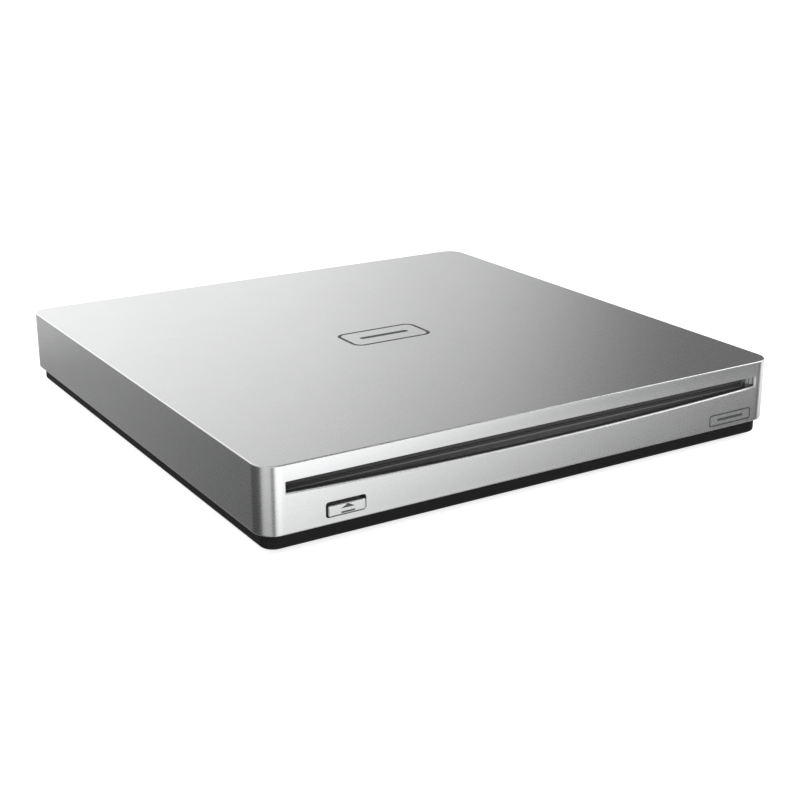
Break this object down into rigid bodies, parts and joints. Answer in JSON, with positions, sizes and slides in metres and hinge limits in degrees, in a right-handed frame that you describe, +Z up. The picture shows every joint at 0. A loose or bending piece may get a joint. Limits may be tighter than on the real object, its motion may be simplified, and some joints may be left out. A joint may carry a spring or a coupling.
{
  "type": "external slot-loading optical disc drive",
  "caption": "Flat square silver case with a wide disc slot and eject key in front, on a black inset base, with the disc mechanism inside.",
  "frame": {"origin": "on the table, under the middle of the case", "axes": "+Z up, the slot and the eject key face -Y, +X is to the right seen from the front"},
  "size_m": [0.133, 0.1335, 0.019],
  "materials": {
    "silver": "fine bead-blasted silver, satin",
    "black_plastic": "fine matt black moulding",
    "rubber": "matt black",
    "felt": "short black felt",
    "steel": "pressed, zinc plated",
    "zinc": "die cast, dull",
    "screws": "blackened",
    "brass": "machined",
    "natural_plastic": "natural moulding",
    "clear": "frosted clear moulding",
    "lens": "clear, faint blue coating",
    "board": "green solder mask",
    "chip": "moulded black package"
  },
  "bodies": {
    "case": {"top_cover": "silver", "base_tray": "black_plastic", "foot_front_left": "rubber", "foot_front_right": "rubber", "foot_rear_left": "rubber", "foot_rear_right": "rubber", "case_screw_front_left": "screws", "case_screw_front_right": "screws", "case_screw_rear_left": "screws", "case_screw_rear_right": "screws", "slot_frame": "black_plastic", "slot_felt_upper": "felt", "slot_felt_lower": "felt", "light_pipe": "clear", "status_led": "natural_plastic", "status_board": "board", "button_board": "board", "tact_switch": "chip", "main_board": "board", "controller_chip": "chip", "memory_chip": "chip", "power_inductor": "chip", "usb_c_socket": "steel", "dc_jack": "black_plastic", "mech_chassis": "steel", "mech_cover": "steel", "mech_screw_1": "screws", "mech_screw_2": "screws", "mech_screw_3": "screws", "mech_screw_4": "screws", "loading_motor": "steel", "gear_axle": "steel", "loading_arm_pin": "steel", "eject_arm_pin": "steel", "guide_arm_pin": "steel", "traverse_pin_front": "steel", "traverse_pin_rear": "steel"},
    "eject_key": {"eject_button": "silver"},
    "slider": {"main_slider": "natural_plastic"},
    "worm_wheel": {"worm_gear": "natural_plastic"},
    "worm": {"motor_worm": "brass"},
    "loading_lever": {"loading_arm": "steel"},
    "eject_lever": {"eject_arm": "steel"},
    "guide_lever": {"guide_arm": "steel"},
    "traverse": {"traverse_frame": "zinc", "spindle_motor": "steel", "guide_rod_main": "steel", "guide_rod_aux": "steel", "sled_motor": "steel"},
    "spindle": {"turntable": "steel", "turntable_pad": "rubber", "chucking_hub": "black_plastic"},
    "pickup": {"pickup_body": "zinc", "lens_actuator": "black_plastic", "objective_lens": "lens", "screw_nut": "natural_plastic"},
    "sled_screw": {"lead_screw": "brass"}
  },
  "joints": [
    {"name": "eject_key_press", "type": "slide", "parent": "case", "child": "eject_key", "axis": [0, 1, 0], "range_m": [0, 0.0005], "stiffness_N_per_m": 400, "springref_m": -0.0005},
    {"name": "slider_travel", "type": "slide", "parent": "case", "child": "slider", "axis": [0, 1, 0], "range_m": [0, 0.014]},
    {"name": "worm_wheel_turn", "type": "hinge", "parent": "case", "child": "worm_wheel", "pos_m": [0.0555, -0.042, 0.0075], "axis": [0, 0, 1], "range_deg": [-268, 0]},
    {"name": "worm_turn", "type": "hinge", "parent": "case", "child": "worm", "pos_m": [0.0555, -0.04995, 0.0081], "axis": [1, 0, 0], "range_deg": [0, 6420]},
    {"name": "loading_lever_swing", "type": "hinge", "parent": "case", "child": "loading_lever", "pos_m": [0.058, -0.018, 0.012], "axis": [0, 0, 1], "range_deg": [-37, 0], "stiffness_Nm_per_rad": 0.002},
    {"name": "eject_lever_swing", "type": "hinge", "parent": "case", "child": "eject_lever", "pos_m": [0.05, 0.046, 0.012], "axis": [0, 0, 1], "range_deg": [-44.8, 0], "stiffness_Nm_per_rad": 0.002},
    {"name": "guide_lever_swing", "type": "hinge", "parent": "case", "child": "guide_lever", "pos_m": [-0.052, 0.04, 0.012], "axis": [0, 0, 1], "range_deg": [0, 34.7], "stiffness_Nm_per_rad": 0.002},
    {"name": "traverse_lift", "type": "hinge", "parent": "case", "child": "traverse", "pos_m": [-0.058, -0.003, 0.008], "axis": [0, -1, 0], "range_deg": [0, 2.3]},
    {"name": "spindle_spin", "type": "hinge", "parent": "traverse", "child": "spindle", "pos_m": [0.00011, -0.002, 0.0097], "axis": [0.0396, 0, 0.9992], "continuous": true},
    {"name": "pickup_travel", "type": "slide", "parent": "traverse", "child": "pickup", "axis": [-0.9992, 0, 0.0396], "range_m": [0, 0.034]},
    {"name": "sled_screw_turn", "type": "hinge", "parent": "traverse", "child": "sled_screw", "pos_m": [-0.03402, -0.0197, 0.00695], "axis": [0.9992, 0, -0.0396], "range_deg": [0, 4085]}
  ],
  "couplings": [
    {"joint": "worm_wheel_turn", "follows": "slider_travel", "rad_per_m": -333.33},
    {"joint": "worm_turn", "follows": "slider_travel", "rad_per_m": 8000},
    {"joint": "traverse_lift", "follows": "slider_travel", "rad_per_m": 2.831},
    {"joint": "sled_screw_turn", "follows": "pickup_travel", "rad_per_m": 2094.4}
  ]
}
